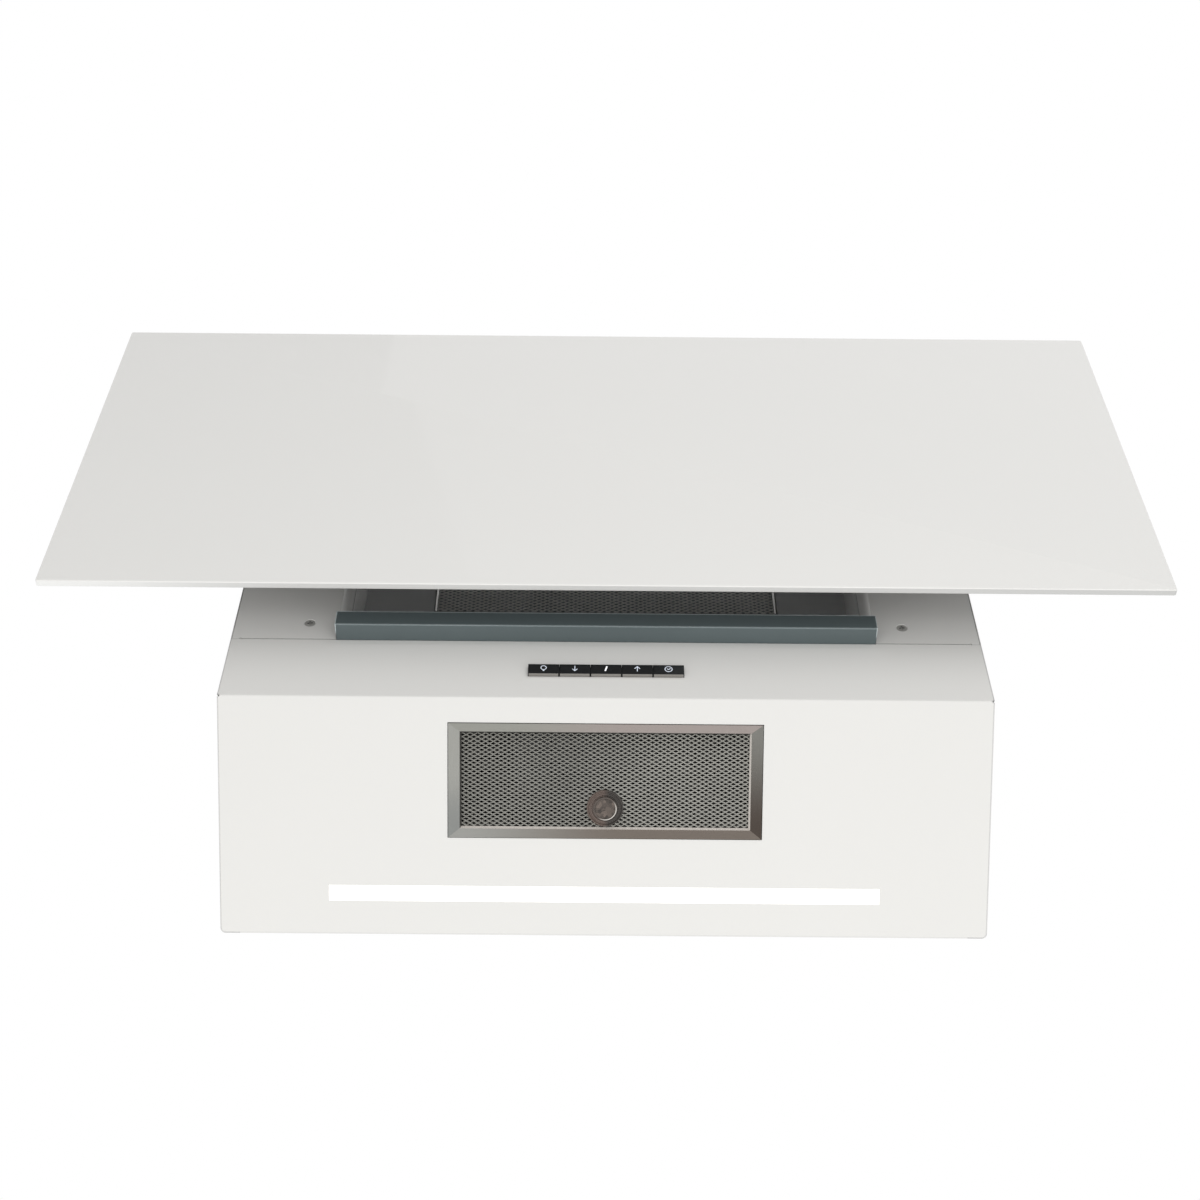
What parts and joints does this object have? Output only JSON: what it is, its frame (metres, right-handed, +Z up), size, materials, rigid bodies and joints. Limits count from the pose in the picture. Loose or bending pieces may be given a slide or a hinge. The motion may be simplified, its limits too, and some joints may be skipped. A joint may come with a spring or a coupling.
{
  "type": "range hood",
  "caption": "Wall range hood with a leaning front, a hinged glass door over the air intake, removable grease filters, push keys, a light bar and a double-inlet blower.",
  "frame": {"origin": "middle of the wall side at the height of the bottom face, on the wall plane", "axes": "+X to the right along the wall seen from the room, +Y into the wall, +Z up"},
  "size_m": [0.9, 0.467, 0.4265],
  "materials": {
    "white_steel": "white powder coat, satin",
    "white_glass": "back-painted white glass, polished",
    "black_steel": "black powder coat, satin",
    "gutter_steel": "dark grey coat, satin",
    "zinc_steel": "zinc-plated sheet",
    "filter_aluminium": "brushed",
    "mesh_aluminium": "expanded sheet, plain",
    "screw_steel": "bright",
    "black_plastic": "fine grain",
    "key_plastic": "satin",
    "catch_plastic": "satin",
    "opal_plastic": "opal, satin",
    "grey_plastic": "moulded, matte",
    "board_laminate": "lacquered",
    "motor_metal": "cast, plain",
    "shaft_steel": "ground",
    "buffer_rubber": "matte",
    "magnet_metal": "nickel-plated"
  },
  "bodies": {
    "housing": {"left_side_panel": "white_steel", "right_side_panel": "white_steel", "lower_shell": "white_steel", "upper_front_panel": "white_steel", "front_screws": "screw_steel", "intake_surround": "white_steel", "filter_wall": "black_steel", "back_panel": "white_steel", "upper_wall_brackets": "zinc_steel", "lower_wall_brackets": "zinc_steel", "top_panel": "zinc_steel", "drip_gutter": "gutter_steel", "left_mouth_trim": "white_steel", "right_mouth_trim": "white_steel", "left_hinge_bracket": "zinc_steel", "right_hinge_bracket": "zinc_steel", "hinge_pins": "shaft_steel", "glass_magnets": "magnet_metal", "key_bezel": "black_plastic", "control_board": "board_laminate", "led_diffuser": "opal_plastic", "led_housing": "grey_plastic", "led_board": "board_laminate", "right_blower_half": "grey_plastic", "left_blower_half": "grey_plastic", "motor": "motor_metal", "motor_bracket": "zinc_steel", "blower_buffers": "buffer_rubber", "outlet_adapter": "grey_plastic", "outlet_collar": "grey_plastic", "collar_screws": "screw_steel", "flap_pin": "shaft_steel", "electronics_box": "grey_plastic", "electronics_lid": "grey_plastic", "capacitor": "grey_plastic", "mains_gland": "black_plastic", "front_filter_hangers": "zinc_steel", "bottom_filter_hangers": "zinc_steel"},
    "glass_door": {"glass_panel": "white_glass", "left_glass_arm": "white_steel", "right_glass_arm": "white_steel"},
    "front_filter": {"front_filter_frame": "filter_aluminium", "front_filter_mesh": "mesh_aluminium", "front_filter_catch_plate": "catch_plastic"},
    "front_catch": {"front_filter_catch": "catch_plastic"},
    "bottom_filter": {"bottom_filter_frame": "filter_aluminium", "bottom_filter_mesh": "mesh_aluminium", "bottom_filter_catch_plate": "catch_plastic"},
    "bottom_catch": {"bottom_filter_catch": "catch_plastic"},
    "fan": {"impeller": "black_plastic", "motor_shaft": "shaft_steel"},
    "room_flap": {"room_side_flap": "grey_plastic"},
    "wall_flap": {"wall_side_flap": "grey_plastic"},
    "light_button": {"light_key": "key_plastic"},
    "slower_button": {"slower_key": "key_plastic"},
    "level_button": {"level_key": "key_plastic"},
    "faster_button": {"faster_key": "key_plastic"},
    "timer_button": {"timer_key": "key_plastic"}
  },
  "joints": [
    {"name": "glass_hinge", "type": "hinge", "parent": "housing", "child": "glass_door", "pos_m": [0, -0.42105, 0.35965], "axis": [-1, 0, 0], "range_deg": [0, 50]},
    {"name": "front_filter_tilt", "type": "hinge", "parent": "housing", "child": "front_filter", "pos_m": [0, -0.22938, 0.17468], "axis": [1, 0, 0], "range_deg": [0, 20]},
    {"name": "bottom_filter_drop", "type": "hinge", "parent": "housing", "child": "bottom_filter", "pos_m": [0, -0.1637, 0.0035], "axis": [-1, 0, 0], "range_deg": [0, 75]},
    {"name": "front_catch_slide", "type": "slide", "parent": "front_filter", "child": "front_catch", "axis": [0, 0.5, -0.866], "range_m": [0, 0.003], "stiffness_N_per_m": 400},
    {"name": "bottom_catch_slide", "type": "slide", "parent": "bottom_filter", "child": "bottom_catch", "axis": [0, -1, 0], "range_m": [0, 0.003], "stiffness_N_per_m": 400},
    {"name": "fan_spin", "type": "hinge", "parent": "housing", "child": "fan", "pos_m": [0, -0.125, 0.215], "axis": [1, 0, 0], "continuous": true},
    {"name": "room_flap_lift", "type": "hinge", "parent": "housing", "child": "room_flap", "pos_m": [0, -0.11, 0.39], "axis": [-1, 0, 0], "range_deg": [0, 75]},
    {"name": "wall_flap_lift", "type": "hinge", "parent": "housing", "child": "wall_flap", "pos_m": [0, -0.11, 0.39], "axis": [1, 0, 0], "range_deg": [0, 75]},
    {"name": "light_press", "type": "slide", "parent": "housing", "child": "light_button", "axis": [0, 0.866, 0.5], "range_m": [0, 0.0008], "stiffness_N_per_m": 600},
    {"name": "slower_press", "type": "slide", "parent": "housing", "child": "slower_button", "axis": [0, 0.866, 0.5], "range_m": [0, 0.0008], "stiffness_N_per_m": 600},
    {"name": "level_press", "type": "slide", "parent": "housing", "child": "level_button", "axis": [0, 0.866, 0.5], "range_m": [0, 0.0008], "stiffness_N_per_m": 600},
    {"name": "faster_press", "type": "slide", "parent": "housing", "child": "faster_button", "axis": [0, 0.866, 0.5], "range_m": [0, 0.0008], "stiffness_N_per_m": 600},
    {"name": "timer_press", "type": "slide", "parent": "housing", "child": "timer_button", "axis": [0, 0.866, 0.5], "range_m": [0, 0.0008], "stiffness_N_per_m": 600}
  ]
}
